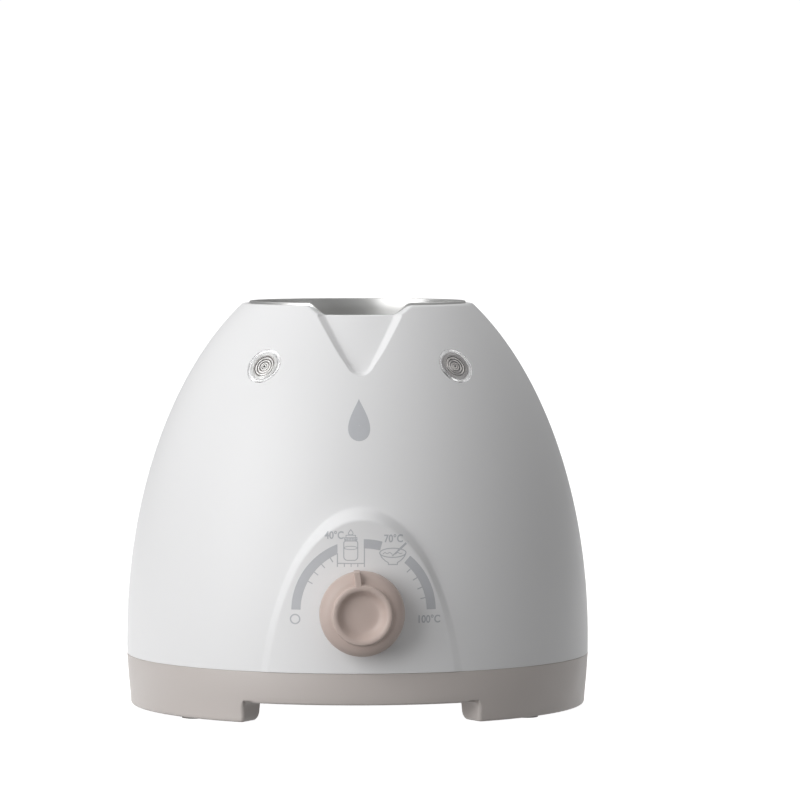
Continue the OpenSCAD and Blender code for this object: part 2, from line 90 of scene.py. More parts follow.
def panel_f(x, z):
    """Distance inwards from the outline of the dial panel."""
    u = PANEL_TOP - z
    return (31.5 * u - 0.22 * u * u - x * x) / np.sqrt(4 * x * x + (31.5 - 0.44 * u) ** 2)


def shell_r(a, z):
    """Outer radius of the shell at azimuth a from the front and level z."""
    a = np.asarray(a, float)
    r = dome_r(z)
    front = np.cos(a) > 0.5
    x = r * np.sin(a)
    width = 3.2 + smooth((z - 50) / 18)
    face = np.where(front, bevel(panel_f(x, z) / width), 0.0)
    r = r + np.maximum(PANEL_R - r, 0) * face
    side = 1.0 + 0.7 * smooth((z - NOTCH_TIP) / 8)
    groove = np.where(front, 1 - bevel(notch_f(x, z) / side, 0.65, 0.12), 0.0)
    return r - (dome_r(z) - dome_r(z, NOTCH_DEPTH)) * groove


def rim_level(a, high, low):
    """Level of a rim that dips from high to low across the notch."""
    x = np.where(np.cos(a) > 0, np.abs(37 * np.sin(a)), 99)
    return high - (high - low) * smooth((17.3 - x) / 6.4)


def on_shell(x, z, proud):
    """Point on the shell's front, at x across and level z, standing proud of it."""
    r = dome_r(z)
    for _ in range(3):
        a = np.arcsin(np.clip(x / r, -1, 1))
        r = shell_r(a, z)
    tilt = np.where(r >= PANEL_R - 0.01, 0.0, (z - DOME_MID) * (DOME_R / DOME_HALF) ** 2 / np.maximum(r, 1))
    rr = r + proud / np.sqrt(1 + tilt * tilt)
    return np.stack([rr * np.sin(a), -rr * np.cos(a), z + proud * tilt / np.sqrt(1 + tilt * tilt)], -1)


# ---------------------------------------------------------------- mesh helpers
def make(name, verts, faces, body=None, mat=None, sharp=40, slot=None):
    """Mesh object from millimetres, riding on a body where one is named."""
    mesh = bpy.data.meshes.new(name)
    mesh.from_pydata((np.asarray(verts, float) * MM).tolist(), [], [list(map(int, f)) for f in faces])
    mesh.validate()
    bm = bmesh.new()
    bm.from_mesh(mesh)
    bmesh.ops.recalc_face_normals(bm, faces=bm.faces)
    bm.to_mesh(mesh)
    bm.free()
    obj = bpy.data.objects.new(name, mesh)
    bpy.context.scene.collection.objects.link(obj)
    shade(obj, sharp)
    if mat:
        mesh.materials.append(mat)
    if body:
        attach(obj, body)
    return obj


def shade(obj, sharp=40):
    """Smooth shading, with edges sharper than the angle kept crisp."""
    mesh = obj.data
    mesh.polygons.foreach_set("use_smooth", [True] * len(mesh.polygons))
    mesh.set_sharp_from_angle(angle=math.radians(sharp))
    mesh.update()


def grid_faces(rows, cols, close_rows=False, close_cols=True):
    """Quads of a grid of points, in rows; a closed direction joins its last point to its first."""
    r = np.arange(rows if close_rows else rows - 1)
    c = np.arange(cols if close_cols else cols - 1)
    i, j = np.meshgrid(r, c, indexing="ij")
    i2, j2 = (i + 1) % rows, (j + 1) % cols
    quads = np.stack([i * cols + j, i * cols + j2, i2 * cols + j2, i2 * cols + j], -1)
    return quads.reshape(-1, 4).tolist()


def rounded(points, n=5):
    """Polyline (r, z, radius) -> profile points, with each corner of that radius rounded off."""
    out = []
    for i, p in enumerate(points):
        rad = p[2] if len(p) > 2 else 0
        if not rad or i in (0, len(points) - 1):
            out.append((p[0], p[1]))
            continue
        c = np.array(p[:2], float)
        a = np.array(points[i - 1][:2], float) - c
        b = np.array(points[i + 1][:2], float) - c
        la, lb = np.linalg.norm(a), np.linalg.norm(b)
        cosang = np.clip(a @ b / la / lb, -1, 1)
        half = math.acos(cosang) / 2
        cut = min(rad / math.tan(half), 0.49 * la, 0.49 * lb)
        pa, pb = c + a / la * cut, c + b / lb * cut
        knee = c + (pa + pb - 2 * c) * 0.12
        for k in range(n + 1):
            t = k / n
            out.append(tuple((1 - t) ** 2 * pa + 2 * t * (1 - t) * knee + t * t * pb))
    return out


def spline(points, n=6):
    """Smooth profile through given points."""
    p = [np.array(q, float) for q in points]
    out = []
    for i in range(len(p) - 1):
        a, b, c, d = p[max(i - 1, 0)], p[i], p[i + 1], p[min(i + 2, len(p) - 1)]
        for k in range(n):
            t = k / n
            out.append(tuple(0.5 * (2 * b + (c - a) * t + (2 * a - 5 * b + 4 * c - d) * t * t
                                    + (3 * b - a - 3 * c + d) * t ** 3)))
    out.append(tuple(p[-1]))
    return out


def revolve(name, profile, n=128, matrix=None, closed=False, **kw):
    """Solid turned about local +Z from a profile of (r, z); r = 0 ends close at a single point."""
    verts, faces, rings = [], [], []
    ang = np.arange(n) * TAU / n
    for r, z in profile:
        if r < 1e-6:
            rings.append([len(verts)])
            verts.append((0, 0, z))
        else:
            rings.append(list(range(len(verts), len(verts) + n)))
            verts += [(r * math.cos(t), r * math.sin(t), z) for t in ang]
    pairs = list(zip(rings, rings[1:])) + ([(rings[-1], rings[0])] if closed else [])
    for a, b in pairs:
        for k in range(n):
            k2 = (k + 1) % n
            if len(a) == 1 and len(b) == 1:
                continue
            if len(a) == 1:
                faces.append((a[0], b[k2], b[k]))
            elif len(b) == 1:
                faces.append((a[k], a[k2], b[0]))
            else:
                faces.append((a[k], a[k2], b[k2], b[k]))
    v = np.array(verts, float)
    if matrix is not None:
        m = np.array(matrix)
        v = v @ m[:3, :3].T + m[:3, 3]
    return make(name, v, faces, **kw)


def boolean(obj, cutters, kind="DIFFERENCE"):
    """Cuts the objects out of obj (or adds them) and removes them."""
    for c in cutters:
        mod = obj.modifiers.new("cut", "BOOLEAN")
        mod.operation, mod.solver, mod.object = kind, "EXACT", c
        bpy.context.view_layer.update()
        dg = bpy.context.evaluated_depsgraph_get()
        mesh = bpy.data.meshes.new_from_object(obj.evaluated_get(dg))
        obj.modifiers.clear()
        old = obj.data
        obj.data = mesh
        mesh.name = obj.name
        bpy.data.meshes.remove(old)
        bpy.data.objects.remove(c)
    bm = bmesh.new()
    bm.from_mesh(obj.data)
    bmesh.ops.remove_doubles(bm, verts=bm.verts, dist=0.0005 * MM)
    bmesh.ops.dissolve_degenerate(bm, edges=bm.edges, dist=0.0005 * MM)
    bm.to_mesh(obj.data)
    bm.free()
    return obj


def capped(rows):
    """Vertices and faces of a tube of rows, closed at both ends."""
    n, m = len(rows), len(rows[0])
    ends = [list(range(m)), list(range((n - 1) * m, n * m))[::-1]]
    return np.concatenate(rows), grid_faces(n, m) + ends


def level_normals(obj):
    """Keeps broad flat faces flat in the shading where small roundings meet them."""
    mod = obj.modifiers.new("normals", "WEIGHTED_NORMAL")
    mod.keep_sharp = True
    mod.weight = 80


def upright(angle, r):
    """Frame with +Z up, r from the warmer's axis at an angle from +X."""
    return Matrix.Rotation(math.radians(angle), 4, "Z") @ Matrix.Translation((r, 0, 0))


def forward(x, y, z):
    """Frame at a point with its +Z pointing to the front."""
    return Matrix.Translation((x, y, z)) @ Matrix.Rotation(math.radians(90), 4, "X")


def lamp_matrix(side):
    """Frame of a lens, at the dome's surface with +Z outwards; side is -1 for the left."""
    r = float(dome_r(LAMP_Z))
    tilt = math.atan2(r / DOME_R ** 2, (LAMP_Z - DOME_MID) / DOME_HALF ** 2)
    return (Matrix.Rotation(side * LAMP_A, 4, "Z") @ Matrix.Translation((0, -r, LAMP_Z))
            @ Matrix.Rotation(tilt, 4, "X"))


# ---------------------------------------------------------------- materials
def material(name, colour, rough=0.4, metal=0.0, vary=0.03, vary_scale=18, grain=0.02, grain_scale=900,
             rough_vary=0.06, **sockets):
    """Moulded or metal surface: soft colour variation, uneven gloss and a fine bump, all from noise."""
    mat = bpy.data.materials.new(name)
    mat.use_nodes = True
    nt = mat.node_tree
    bsdf = nt.nodes["Principled BSDF"]
    co = nt.nodes.new("ShaderNodeTexCoord")

    def noise(scale, detail, roughness=0.5):
        n = nt.nodes.new("ShaderNodeTexNoise")
        n.inputs["Scale"].default_value = scale
        n.inputs["Detail"].default_value = detail
        n.inputs["Roughness"].default_value = roughness
        nt.links.new(co.outputs["Object"], n.inputs["Vector"])
        return n.outputs["Fac"]

    ramp = nt.nodes.new("ShaderNodeValToRGB")
    ramp.color_ramp.elements[0].position = 0.3
    ramp.color_ramp.elements[1].position = 0.7
    ramp.color_ramp.elements[0].color = [max(0, c * (1 - vary)) for c in colour] + [1]
    ramp.color_ramp.elements[1].color = [min(1, c * (1 + vary)) for c in colour] + [1]
    nt.links.new(noise(vary_scale, 4), ramp.inputs["Fac"])
    nt.links.new(ramp.outputs["Color"], bsdf.inputs["Base Color"])
    span = nt.nodes.new("ShaderNodeMapRange")
    span.inputs["From Min"].default_value, span.inputs["From Max"].default_value = 0.3, 0.7
    span.inputs["To Min"].default_value = max(0.02, rough - rough_vary)
    span.inputs["To Max"].default_value = rough + rough_vary
    nt.links.new(noise(vary_scale * 2.3, 5, 0.6), span.inputs["Value"])
    nt.links.new(span.outputs["Result"], bsdf.inputs["Roughness"])
    if grain:
        bump = nt.nodes.new("ShaderNodeBump")
        bump.inputs["Strength"].default_value = 1.0
        bump.inputs["Distance"].default_value = grain * MM
        nt.links.new(noise(grain_scale, 3, 0.55), bump.inputs["Height"])
        nt.links.new(bump.outputs["Normal"], bsdf.inputs["Normal"])
    bsdf.inputs["Metallic"].default_value = metal
    for k, v in sockets.items():
        bsdf.inputs[k.replace("_", " ")].default_value = v
    return mat


def streaks(mat, scale, amount):
    """Turned or drawn metal: gloss that changes quickly along one axis and slowly along the others."""
    nt = mat.node_tree
    bsdf = nt.nodes["Principled BSDF"]
    co = nt.nodes.new("ShaderNodeTexCoord")
    stretch = nt.nodes.new("ShaderNodeMapping")
    stretch.inputs["Scale"].default_value = scale
    lines = nt.nodes.new("ShaderNodeTexNoise")
    lines.inputs["Scale"].default_value = 1.0
    lines.inputs["Detail"].default_value = 4
    nt.links.new(co.outputs["Object"], stretch.inputs["Vector"])
    nt.links.new(stretch.outputs["Vector"], lines.inputs["Vector"])
    mix = nt.nodes.new("ShaderNodeMath")
    mix.operation = "MULTIPLY_ADD"
    mix.inputs[1].default_value = 2 * amount
    nt.links.new(lines.outputs["Fac"], mix.inputs[0])
    old = bsdf.inputs["Roughness"].links[0].from_socket
    shift = nt.nodes.new("ShaderNodeMath")
    shift.operation = "SUBTRACT"
    shift.inputs[1].default_value = amount
    nt.links.new(old, shift.inputs[0])
    nt.links.new(shift.outputs[0], mix.inputs[2])
    nt.links.new(mix.outputs[0], bsdf.inputs["Roughness"])
    bump = nt.nodes.new("ShaderNodeBump")
    bump.inputs["Distance"].default_value = 0.01 * MM
    nt.links.new(lines.outputs["Fac"], bump.inputs["Height"])
    nt.links.new(bsdf.inputs["Normal"].links[0].from_socket, bump.inputs["Normal"])
    nt.links.new(bump.outputs["Normal"], bsdf.inputs["Normal"])


shell_mat = material("white_plastic", (0.84, 0.84, 0.845), 0.42, vary=0.003, vary_scale=9, grain=0.004,
                     grain_scale=1400, rough_vary=0.015, IOR=1.5, Specular_IOR_Level=0.4)
base_mat = material("beige_plastic", (0.56, 0.515, 0.49), 0.42, vary=0.02, grain=0.012, grain_scale=1600)
knob_mat = material("satin_beige", (0.56, 0.455, 0.41), 0.46, vary=0.02, grain=0.012, grain_scale=1800)
print_mat = material("print_ink", (0.53, 0.54, 0.565), 0.5, vary=0.02, vary_scale=300, grain=0.004)
cup_mat = material("cup_metal", (0.74, 0.74, 0.73), 0.34, 1.0, vary=0.03, grain=0.004)
streaks(cup_mat, (60, 60, 2600), 0.10)
clear_mat = material("clear_plastic", (0.97, 0.97, 0.97), 0.04, vary=0.01, grain=0.001, rough_vary=0.015,
                     Transmission_Weight=1.0, IOR=1.49)


def lens_look(name, colour, rough, vary, vary_scale=420):
    return material(name, colour, rough, vary=vary, vary_scale=vary_scale, grain=0.004)


# Painted light on the lens rings: the pale treads are a painted reflection, the dark grooves are painted
# shade, and the strong noise on both is painted reflection patches.
lens_rings_painted_light_and_shade = {       # tread, groove and seat of each lens's reflector
    # lighter copies: painted light for the lens on the lit side
    "left": (lens_look("treads_painted_reflection_lit", (0.60, 0.59, 0.58), 0.3, 0.28),
             lens_look("grooves_painted_shade_lit", (0.06, 0.05, 0.045), 0.3, 0.5),
             lens_look("seat_painted_lit_side", (0.50, 0.50, 0.495), 0.35, 0.03, 200)),
    # darker copies: painted shade for the lens on the shaded side, its seat darkened as painted shade too
    "right": (lens_look("treads_painted_reflection_shaded", (0.38, 0.36, 0.35), 0.25, 0.45),
              lens_look("grooves_painted_shade_shaded", (0.016, 0.013, 0.012), 0.25, 0.3),
              lens_look("lens_seat", (0.25, 0.24, 0.24), 0.35, 0.1, 200)),
}

# ---------------------------------------------------------------- shell
fine = np.radians(np.concatenate([
    np.arange(-28.2, -23.1, 0.3), np.arange(-23, 23.01, 0.2), np.arange(23.1, 28.21, 0.3)]))
coarse = np.radians(np.linspace(28.2, 331.8, 154)[1:-1])
az = np.concatenate([fine, coarse])


def ring_points(r, z, a):
    """Points at radius r and level z, at azimuths a from the front."""
    return np.stack([r * np.sin(a), -r * np.cos(a), z + 0 * a], -1)


def build_shell():
    """Closed grid: up the outside, over the rim, down the neck and back down the inside."""
    rim_r, well_r, foot_r = 0.75, 0.35, 0.15     # roundings of the rim's two edges and the lower edge
    rows = []
    z_low = SEAM_Z + 0.02
    steps = np.concatenate([
        np.arange(17.6, 74, 0.5), np.arange(74, 106, 1.4), np.linspace(106, RIM_Z - rim_r, 92)])
    frac = (steps - steps[0]) / (steps[-1] - steps[0])
    top = rim_level(az, RIM_Z, NOTCH_RIM)
    edge = top - rim_r
    r_low = shell_r(az, z_low + 0.4)
    for t in (0.0, 0.4, 0.7):
        rows.append(ring_points(r_low - foot_r * (1 - t) ** 2, z_low + foot_r * t * t, az))
    for f in frac:
        z = steps[0] + f * (edge - steps[0])
        rows.append(ring_points(shell_r(az, z), z, az))
    r_edge = shell_r(az, edge)
    slope = (shell_r(az, edge) - shell_r(az, edge - 0.5)) / 0.5
    r_corner = r_edge + slope * rim_r
    for t in np.linspace(0.12, 1, 8):
        r = (1 - t) ** 2 * r_edge + 2 * t * (1 - t) * r_corner + t * t * (r_corner - 0.7)
        z = (1 - t) ** 2 * edge + 2 * t * (1 - t) * top + t * t * top
        rows.append(ring_points(r, z, az))
    for t in np.linspace(0.0, 1, 5):
        rows.append(ring_points(NECK_R + well_r * (1 - t) ** 2, top - well_r * t * t, az))
    for t in np.linspace(0.08, 1, 8):
        rows.append(ring_points(NECK_R, (top - well_r) * (1 - t) + NECK_Z * t, az))
    for z in (NECK_Z, 121, 125):
        rows.append(ring_points(NECK_OUT, z, az))
    for z in np.linspace(124, SEAM_Z + 0.06, 60):
        steep = (z - DOME_MID) * (DOME_R / DOME_HALF) ** 2 / np.maximum(dome_r(z), 1)
        inside = shell_r(az, z) - WALL * np.sqrt(1 + steep ** 2)
        rows.append(ring_points(np.maximum(inside, NECK_OUT + 0.3), z, az))
    faces = grid_faces(len(rows), len(az), close_rows=True)
    return make("shell", np.concatenate(rows), faces, mat=shell_mat)


shell = build_shell()
lens_seat = [(0, -9), (5.0, -9), (5.0, -1.4), (6.25, -1.4), (6.25, 6), (0, 6)]
cutters = [revolve("cutter", lens_seat, 96, lamp_matrix(side)) for side in (-1, 1)]
cutters.append(revolve("cutter", [(0, 70), (5.0, 70), (5.0, 90), (0, 90)], 64, forward(0, 0, DIAL_Z)))
boolean(shell, cutters)
shade(shell, 35)
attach(shell, "housing")
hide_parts("outer_shell")


def pin(name, r, hole, z0, z1, matrix):
    """Moulded column with a blind screw hole from its lower end."""
    deep = z1 - 3
    profile = rounded([(0, z1), (r, z1, 0.3), (r, z0, 0.3), (hole, z0), (hole, deep), (0, deep)], 3)
    return revolve(name, profile, 40, matrix, body="housing", mat=shell_mat, slot="shell_white")


for k, a in enumerate(SCREW_TURNS):
    pin("column_%d" % k, 4.0, 1.5, 15.1, 45.0, upright(a, SCREW_CIRCLE))
for k, a in enumerate((90, 210, 330)):
    pin("ring_post_%d" % k, 3.0, 1.25, BEAD_UNDER, 121.0, upright(a, 43))
for k, x in enumerate((-16, 16)):
    pin("dial_post_%d" % k, 3.2, 1.15, 66.0, 71.4, forward(x, 0, DIAL_Z))

# ---------------------------------------------------------------- base
GAP = math.radians(30)
END_R = 1.2          # rounding of the feet's upright end edges


def end_round(d):
    """Share of the rounding left at arc length d into the foot."""
    return 1 - math.sqrt(max(0, 1 - max(0, 1 - d / END_R) ** 2))


def build_base():
    """One grid: each column's lower outline swings between the foot's and the underside's."""
    # (arc length into the foot, share of the foot's height)
    ends = [(-1.5, 0), (-0.9, 0.012), (-0.45, 0.045), (-0.15, 0.11), (0, 0.2), (0, 0.34), (0, 0.5), (0, 0.7)]
    ends += [(d, 1 - 0.14 * end_round(d)) for d in (0, 0.06, 0.16, 0.3, 0.5, 0.75, 1.0, 1.3)]
    columns = []     # (azimuth, order, share, inset of the outer face)
    for centre, sign in ((GAP, 1), (math.pi - GAP, -1), (math.pi + GAP, 1), (TAU - GAP, -1)):
        for k, (d, w) in enumerate(ends):
            columns.append((centre + sign * d / 76, sign * k, w, END_R * end_round(max(d, 0))))
    taken = [c[0] for c in columns]
    for t in np.radians(np.arange(0, 360, 1.5)):
        if min(abs(t - b) for b in taken) > 0.025:
            inside = GAP < t < math.pi - GAP or math.pi + GAP < t < TAU - GAP
            columns.append((t, 0, 1.0 if inside else 0.0, 0.0))
    columns.sort(key=lambda c: (round(c[0], 6), c[1]))
    a, _, w, inset = np.array(columns).T
    foot = rounded([
        (8, FLOOR_UNDER), (30, FLOOR_UNDER), (62.6, FLOOR_UNDER), (64.2, FLOOR_UNDER, 1.2),
        (65.2, FOOT_Z, 2.2), (74.9, FOOT_Z, 0.8), (75.0, 2.2), (75.1, 3.8), (75.25, 5.0), (75.33, 6.0),
        (75.4, 6.8), (75.46, 7.4), (75.52, 8.0), (75.65, 9.2), (DOME_R, SEAM_Z - 0.02, 0.15),
        (SPIGOT_OUT, SEAM_Z - 0.02), (SPIGOT_OUT, SPIGOT_TOP, 0.4), (SPIGOT_IN, SPIGOT_TOP, 0.4),
        (SPIGOT_IN, FLOOR_TOP), (8, FLOOR_TOP)])
    outer = [i for i, (r, z) in enumerate(foot) if r > 70 and z < 7.5]
    rows = []
    for i, (r, z) in enumerate(foot):
        r0, z0, soft = r, max(z, FLOOR_UNDER), 0.0
        if i in outer:       # between the feet these rows make the underside's rounded outer edge
            t = math.pi / 2 * (i - outer[0]) / (len(outer) - 1)
            r0, z0 = 75.46 - 0.9 * (1 - math.sin(t)), FLOOR_UNDER + 0.9 * (1 - math.cos(t))
            soft = float(smooth((6.7 - z) / 1.0))
        rows.append(ring_points(r0 + (r - r0) * w - inset * soft, z0 + (z - z0) * w, a))
    return make("base", *capped(rows), mat=base_mat, sharp=38)


def block(lo, hi):
    """Cutter: axis-aligned block between two corners."""
    v = [[(lo, hi)[(i >> k) & 1][k] for k in range(3)] for i in range(8)]
    sides = [(0, 2, 3, 1), (4, 5, 7, 6), (0, 1, 5, 4), (2, 6, 7, 3), (0, 4, 6, 2), (1, 3, 7, 5)]
    return make("cutter", v, sides)


def foot_pocket(a0, a1):
    """Cutter for the hollow inside one foot, open upwards, between two azimuths."""
    section = [(66.4, 2.7), (71.2, 2.7), (71.2, 12.0), (66.4, 12.0)]
    turns = np.radians(np.linspace(a0, a1, 78))
    v = [(r * math.sin(t), -r * math.cos(t), z) for t in turns for r, z in section]
    last = 4 * (len(turns) - 1)
    return make("cutter", v, grid_faces(len(turns), 4) + [[3, 2, 1, 0], [last, last + 1, last + 2, last + 3]])


base = build_base()
boss = [(0, 8.0), (4.3, 8.0), (4.3, 15.0), (0, 15.0)]
boolean(base, [revolve("boss", boss, 40, upright(a, SCREW_CIRCLE)) for a in SCREW_TURNS], "UNION")
screw_hole = [(0, 0), (3.5, 0), (3.5, 10.3), (1.65, 10.3), (1.65, 20), (0, 20)]
cutters = [revolve("cutter", screw_hole, 40, upright(a, SCREW_CIRCLE)) for a in SCREW_TURNS]
pad_recess = [(0, -1), (4.1, -1), (4.1, 2), (0, 2)]
cutters += [revolve("cutter", pad_recess, 40, upright(a, PAD_CIRCLE)) for a in PAD_TURNS]
cutters += [block((x - 1.2, -18, 0), (x + 1.2, 18, 20)) for x in (-20, -10, 0, 10, 20)]
gland_hole = [(0, -80), (3.75, -80), (3.75, -65), (0, -65)]
cutters.append(revolve("cutter", gland_hole, 48, forward(0, 0, GLAND_Z)))
cutters.append(block((-3.7, 65, GLAND_Z), (3.7, 80, 24)))
cutters += [foot_pocket(32, 148), foot_pocket(212, 328)]
boolean(base, cutters)
shade(base, 38)
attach(base, "housing")
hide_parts("base_housing")

# ---------------------------------------------------------------- cup
def build_cup():
    """Grid from the middle of the well's floor, over the lip and the bead, to the stud underneath."""
    lip = 0.4
    a = np.concatenate([np.radians(np.arange(-28.2, 28.21, 0.6)), coarse])
    top = rim_level(a, RIM_Z + 0.8, NOTCH_RIM - 0.2)

    def corner(r, z, t):
        return r - CUP_CORNER * (1 - math.sin(t)), z + CUP_CORNER * (1 - math.cos(t))

    quarter = np.linspace(0, math.pi / 2, 10)
    inner = [(0.5, CUP_FLOOR), (12, CUP_FLOOR), (24, CUP_FLOOR)]
    inner += [corner(CUP_IN, CUP_FLOOR, t) for t in quarter]
    rows = [ring_points(r, z, a) for r, z in inner]
    low = CUP_FLOOR + CUP_CORNER
    for t in np.linspace(0.03, 1, 26):
        rows.append(ring_points(CUP_IN, low + (top - lip - low) * t, a))
    for t in np.linspace(0, math.pi, 9)[1:-1]:
        rows.append(ring_points(CUP_IN + lip - lip * math.cos(t), top - lip + lip * math.sin(t), a))
    outer = [(CUP_OUT, BEAD_TOP), (BEAD_OUT, BEAD_TOP), (BEAD_OUT, BEAD_UNDER), (CUP_OUT, BEAD_UNDER)]
    outer += [corner(CUP_OUT, CUP_UNDER, t) for t in quarter[::-1]] + [(2, CUP_UNDER), (2, 30.5)]
    rows += [ring_points(r, z, a) for r, z in outer]
    return make("cup", *capped(rows), "housing", cup_mat, 38, "cup_aluminium")


cup = build_cup()
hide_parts("heating_cup")

# ---------------------------------------------------------------- knob
knob_m = forward(0, KNOB_Y, DIAL_Z) @ Matrix.Rotation(POINTER, 4, "Z")
knob_profile = (
    [(0, 9.05), (3.1, 9.05), (3.1, 0.8), (5, 0.8), (5, 8.2), (7.6, 8.2), (11.9, 5.2), (11.9, 0.2)]
    + rounded([(11.9, 0.2), (11.9, 0), (12.9, 0, 0.5), (13.4, 2.6, 1.5), (KNOB_R, 4.6)], 6)[1:]
    + spline([(KNOB_R, 4.6), (13.47, 5.6), (13.25, 6.9), (12.75, 8.0), (11.9, 9.0), (10.85, 9.7),
              (9.95, 10.02)], 5)[1:]
    + [(9.78, 10.08), (9.68, 10.16), (9.63, 10.3), (9.6, 11.0)]
    + spline([(9.6, 11.0), (9.5, 11.5), (9.25, 11.85), (8.8, 11.99), (8.35, 11.97), (7.85, 11.75),
              (7.3, 11.2), (6.6, 10.4), (5.8, 9.75), (4.9, 9.45), (3.4, 9.4), (1.7, 9.48), (0, 9.52)], 5)[1:]
)
knob = revolve("knob_cap", knob_profile, 160, knob_m, mat=knob_mat)


def rounded_box(name, lo, hi, rad, matrix):
    """Block between two corners of a frame, with all its edges rounded."""
    bm = bmesh.new()
    bmesh.ops.create_cube(bm, size=1)
    for v in bm.verts:
        v.co = Vector([(lo[i] if v.co[i] < 0 else hi[i]) * MM for i in range(3)])
    bmesh.ops.bevel(bm, geom=bm.edges[:], offset=rad * MM, segments=4, profile=0.5, affect="EDGES")
    m = matrix.copy()
    m.translation = m.translation * MM
    bmesh.ops.transform(bm, matrix=m, verts=bm.verts)
    mesh = bpy.data.meshes.new(name)
    bm.to_mesh(mesh)
    bm.free()
    obj = bpy.data.objects.new(name, mesh)
    bpy.context.scene.collection.objects.link(obj)
    return obj


rib = rounded_box("rib", (-1.0, 8.7, 3.0), (1.0, 13.8, 11.93), 0.26, knob_m)
boolean(knob, [rib], "UNION")
shade(knob, 35)
level_normals(knob)
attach(knob, "dial")
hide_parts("knob")

# ---------------------------------------------------------------- lenses
BEND_ACROSS, BEND_ALONG = 62, 190      # radii of the dome at the lenses


def drop(obj, matrix):
    """Bends the lens's front to follow the dome round it."""
    inv = matrix.inverted()
    for v in obj.data.vertices:
        p = inv @ Vector(v.co / MM)
        if p.z > -1.3:
            p.z -= p.x * p.x / (2 * BEND_ACROSS) + p.y * p.y / (2 * BEND_ALONG)
            v.co = (matrix @ p) * MM


def reflector():
    """Profile of the stepped reflector, with the look of the strip that ends at each point; the grooves' dark
    look is painted shade and the treads' pale look is a painted reflection.
    """
    tread, groove, seat = 0, 1, 2
    r, z = 3.72, -0.62
    steps = [(4.46, -8.9), (4.9, -8.9), (4.9, -0.5), (3.95, -0.5), (3.86, -0.62), (r, z)]
    tone = [groove, groove, seat, seat, groove, tread]
    for _ in range(3):
        steps += [(r - 0.05, z - 0.22), (r - 0.42, z - 0.23), (r - 0.47, z - 0.05), (r - 0.90, z - 0.07)]
        tone += [groove, groove, tread, tread]
        r, z = r - 0.90, z - 0.07
    steps += [(0.98, -1.1), (0.80, -1.1), (0.76, -0.76), (0.40, -0.72), (0.34, -0.85), (0.32, -1.9),
              (0, -1.95), (0, -8.2), (4.46, -8.2)]
    tone += [groove, groove, tread, tread] + [groove] * 5
    return steps, tone


lens_profile = rounded([(0, -0.42), (5.1, -0.42, 0.05), (5.15, -1.25), (5.95, -1.25, 0.1), (6.1, -0.1, 0.12),
                        (5.8, 0.18, 0.25), (0, 0.18)], 4)
steps, tone = reflector()
for side, tag in ((-1, "left"), (1, "right")):
    m = lamp_matrix(side)
    body = revolve("lens_" + tag + "_clear", lens_profile, 112, m, mat=clear_mat, sharp=50)
    drop(body, m)
    body.visible_shadow = False      # clear plastic lets the light through to the rings
    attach(body, "housing")
    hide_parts("lens_" + tag)
    rings = revolve("lens_" + tag + "_rings", steps, 112, m, sharp=30, closed=True)
    for look in lens_rings_painted_light_and_shade[tag]:
        rings.data.materials.append(look)
    inv = m.inverted()
    for poly in rings.data.polygons:
        local = [inv @ Vector(rings.data.vertices[i].co / MM) for i in poly.vertices]
        spread = [math.hypot(q.x, q.y) for q in local]
        levels = [q.z for q in local]
        mid_r, mid_z = (min(spread) + max(spread)) / 2, (min(levels) + max(levels)) / 2
        best = min(range(len(tone) - 1), key=lambda k: abs((steps[k][0] + steps[k + 1][0]) / 2 - mid_r)
                   + abs((steps[k][1] + steps[k + 1][1]) / 2 - mid_z))
        # grooves take the painted-shade look, treads the painted-reflection look
        poly.material_index = tone[best + 1]
    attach(rings, "housing")

# ---------------------------------------------------------------- printed marks
INK_LOW, INK_HIGH = -0.02, 0.035       # the print starts just inside the shell and stands just proud of it
ink = {"verts": [], "faces": []}


def add_slab(grid, close=False):
    """Closed thin slab from a (rows, cols, 2) grid of (x, z) points laid on the shell."""
    g = np.asarray(grid, float)
    rows, cols = g.shape[:2]
    flat = g.reshape(-1, 2)
    base = len(ink["verts"])
    low = on_shell(flat[:, 0], flat[:, 1], INK_LOW)
    high = on_shell(flat[:, 0], flat[:, 1], INK_HIGH)
    ink["verts"] += low.tolist() + high.tolist()
    n = rows * cols
    f = grid_faces(rows, cols, False, close)
    ink["faces"] += [[base + i for i in q][::-1] for q in f] + [[base + n + i for i in q] for q in f]
    last = (rows - 1) * cols
    if close:
        loops = [list(range(cols)), list(range(last, rows * cols))[::-1]]
    else:
        loops = [list(range(cols)) + [r * cols + cols - 1 for r in range(1, rows)]
                 + list(range(last, rows * cols - 1))[::-1] + [r * cols for r in range(rows - 2, 0, -1)]]
    for loop in loops:
        for i, a in enumerate(loop):
            b = loop[(i + 1) % len(loop)]
            ink["faces"].append([base + a, base + b, base + n + b, base + n + a])


def stroke(points, width=0.32, closed=False):
    """Line of even width through (x, z) points."""
    p = np.array(points, float)
    nxt, prv = np.roll(p, -1, 0), np.roll(p, 1, 0)
    if not closed:
        nxt[-1], prv[0] = p[-1], p[0]
    d1, d0 = nxt - p, p - prv
    for d in (d1, d0):
        length = np.linalg.norm(d, axis=1)[:, None]
        d /= np.maximum(length, 1e-9)
    if not closed:
        d1[-1], d0[0] = d0[-1], d1[0]
    t = d1 + d0
    t /= np.linalg.norm(t, axis=1)[:, None]
    mitre = 1 / np.maximum((t * d1).sum(1), 0.5)[:, None]
    off = np.stack([-t[:, 1], t[:, 0]], 1) * width / 2 * mitre
    add_slab(np.stack([p - off, p + off], 0), close=closed)


def path(*corners):
    """Straight lines between corners, in steps fine enough to lie on the shell."""
    out = []
    for a, b in zip(corners, corners[1:]):
        a, b = np.array(a, float), np.array(b, float)
        n = max(1, int(np.linalg.norm(b - a) / 0.8))
        out += [tuple(a + (b - a) * k / n) for k in range(n)]
    return out + [corners[-1]]


